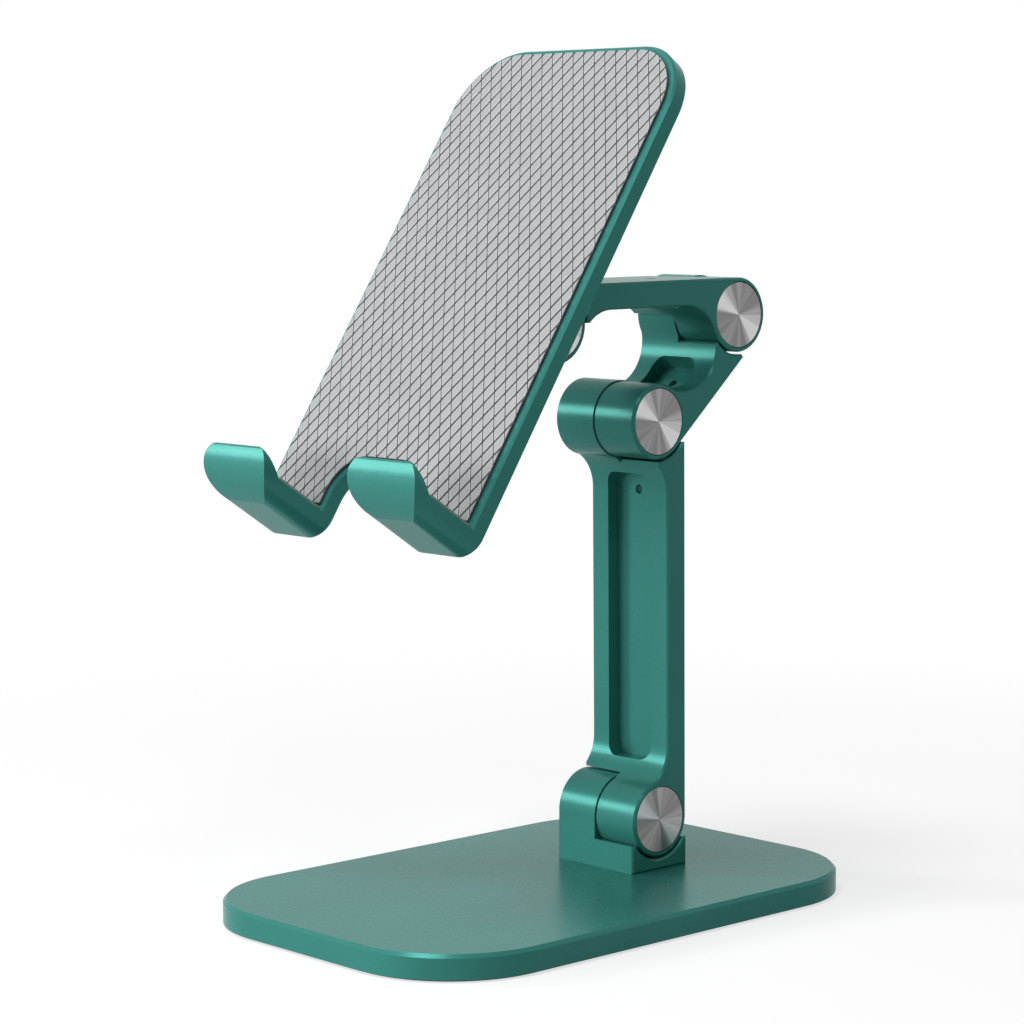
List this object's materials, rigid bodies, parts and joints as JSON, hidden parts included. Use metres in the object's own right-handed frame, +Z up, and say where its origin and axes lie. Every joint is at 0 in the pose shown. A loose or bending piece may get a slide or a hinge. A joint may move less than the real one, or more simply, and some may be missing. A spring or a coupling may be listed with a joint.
{
  "type": "phone stand",
  "caption": "Folding metal phone stand: rounded base, friction-hinged links with round brushed caps, tilting holder plate with a grooved silicone pad, hooks and a cable notch.",
  "frame": {"origin": "centre of the base's underside, on the surface it stands on", "axes": "+X along the hinge axes toward the capped knuckles, -Y the side the phone faces, +Z up"},
  "size_m": [0.091, 0.14, 0.1967],
  "materials": {
    "green_metal": "satin green anodised",
    "cap_metal": "radially turned",
    "steel_hardware": "plain",
    "washer_plastic": "matt black",
    "pad_silicone": "matt light grey silicone",
    "base_silicone": "matt black silicone"
  },
  "bodies": {
    "base": {"base_plate": "green_metal", "base_pad": "base_silicone", "base_block": "green_metal", "base_screws": "steel_hardware", "left_cap_a": "cap_metal"},
    "lower_arm": {"lower_arm": "green_metal", "left_cap_b": "cap_metal", "right_cap_a": "cap_metal", "hinge_bolt_a": "steel_hardware", "lock_nut_a": "steel_hardware", "disc_springs_a": "steel_hardware", "friction_washer_a": "washer_plastic"},
    "middle_link": {"middle_link": "green_metal", "left_cap_c": "cap_metal", "right_cap_b": "cap_metal", "hinge_bolt_b": "steel_hardware", "lock_nut_b": "steel_hardware", "disc_springs_b": "steel_hardware", "friction_washer_b": "washer_plastic"},
    "upper_arm": {"upper_arm": "green_metal", "left_cap_d": "cap_metal", "right_cap_c": "cap_metal", "hinge_bolt_c": "steel_hardware", "lock_nut_c": "steel_hardware", "disc_springs_c": "steel_hardware", "friction_washer_c": "washer_plastic"},
    "holder": {"holder_plate": "green_metal", "holder_pad": "pad_silicone", "hook_pads": "pad_silicone", "holder_bracket": "green_metal", "holder_screws": "steel_hardware", "right_cap_d": "cap_metal", "hinge_bolt_d": "steel_hardware", "lock_nut_d": "steel_hardware", "disc_springs_d": "steel_hardware", "friction_washer_d": "washer_plastic"}
  },
  "joints": [
    {"name": "hinge_a", "type": "hinge", "parent": "base", "child": "lower_arm", "pos_m": [0, 0.0282, 0.0179], "axis": [1, 0, 0], "range_deg": [-35, 20]},
    {"name": "hinge_b", "type": "hinge", "parent": "lower_arm", "child": "middle_link", "pos_m": [0, 0.02722, 0.11149], "axis": [1, 0, 0], "range_deg": [0, 45]},
    {"name": "hinge_c", "type": "hinge", "parent": "middle_link", "child": "upper_arm", "pos_m": [0, 0.05426, 0.13542], "axis": [1, 0, 0], "range_deg": [-75, 10]},
    {"name": "hinge_d", "type": "hinge", "parent": "upper_arm", "child": "holder", "pos_m": [0, -0.00534, 0.13489], "axis": [1, 0, 0], "range_deg": [-15, 30]}
  ]
}
